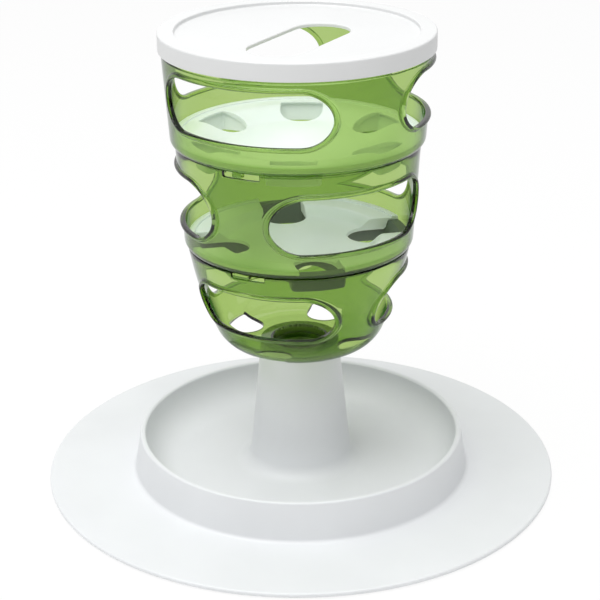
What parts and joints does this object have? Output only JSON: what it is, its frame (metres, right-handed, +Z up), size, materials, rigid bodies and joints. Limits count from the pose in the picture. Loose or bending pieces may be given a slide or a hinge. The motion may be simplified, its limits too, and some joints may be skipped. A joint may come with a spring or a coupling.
{
  "type": "cat food maze",
  "caption": "Cat food maze: a wide dish with a central column that carries stacked translucent tiers with paw openings, white floors with drop holes and a slotted lid.",
  "frame": {"origin": "on the ground at the axis of the dish, the middle of the part's footprint", "axes": "+Z up along the column, -Y towards the side that the picture is taken from, +X to its right"},
  "size_m": [0.3599, 0.36, 0.3203],
  "materials": {
    "dish_plastic": "satin white moulding",
    "foot_rubber": "matt grey",
    "green_plastic": "clear green, polished",
    "floor_plastic": "milky white, smooth",
    "chute_plastic": "satin dark grey moulding",
    "lid_plastic": "smooth white moulding"
  },
  "bodies": {
    "base": {"base_dish": "dish_plastic", "rubber_foot_1": "foot_rubber", "rubber_foot_2": "foot_rubber", "rubber_foot_3": "foot_rubber", "rubber_foot_4": "foot_rubber", "rubber_foot_5": "foot_rubber", "rubber_foot_6": "foot_rubber"},
    "cup": {"bottom_cup": "green_plastic"},
    "middle_tier": {"middle_ring": "green_plastic", "middle_chutes": "chute_plastic", "middle_floor_plate": "floor_plastic"},
    "top_tier": {"top_ring": "green_plastic", "top_chutes": "floor_plastic", "top_floor_plate": "floor_plastic"},
    "lid": {"lid": "lid_plastic"}
  },
  "joints": [
    {"name": "cup_turn", "type": "hinge", "parent": "base", "child": "cup", "pos_m": [0, 0, 0.0993], "axis": [0, 0, 1], "range_deg": [0, 30]},
    {"name": "middle_tier_turn", "type": "hinge", "parent": "cup", "child": "middle_tier", "pos_m": [0, 0, 0.1734], "axis": [0, 0, 1], "range_deg": [0, 8.2]},
    {"name": "top_tier_turn", "type": "hinge", "parent": "middle_tier", "child": "top_tier", "pos_m": [0, 0, 0.2452], "axis": [0, 0, 1], "range_deg": [0, 8.2]},
    {"name": "lid_lift", "type": "slide", "parent": "top_tier", "child": "lid", "axis": [0, 0, 1], "range_m": [0, 0.06]}
  ]
}
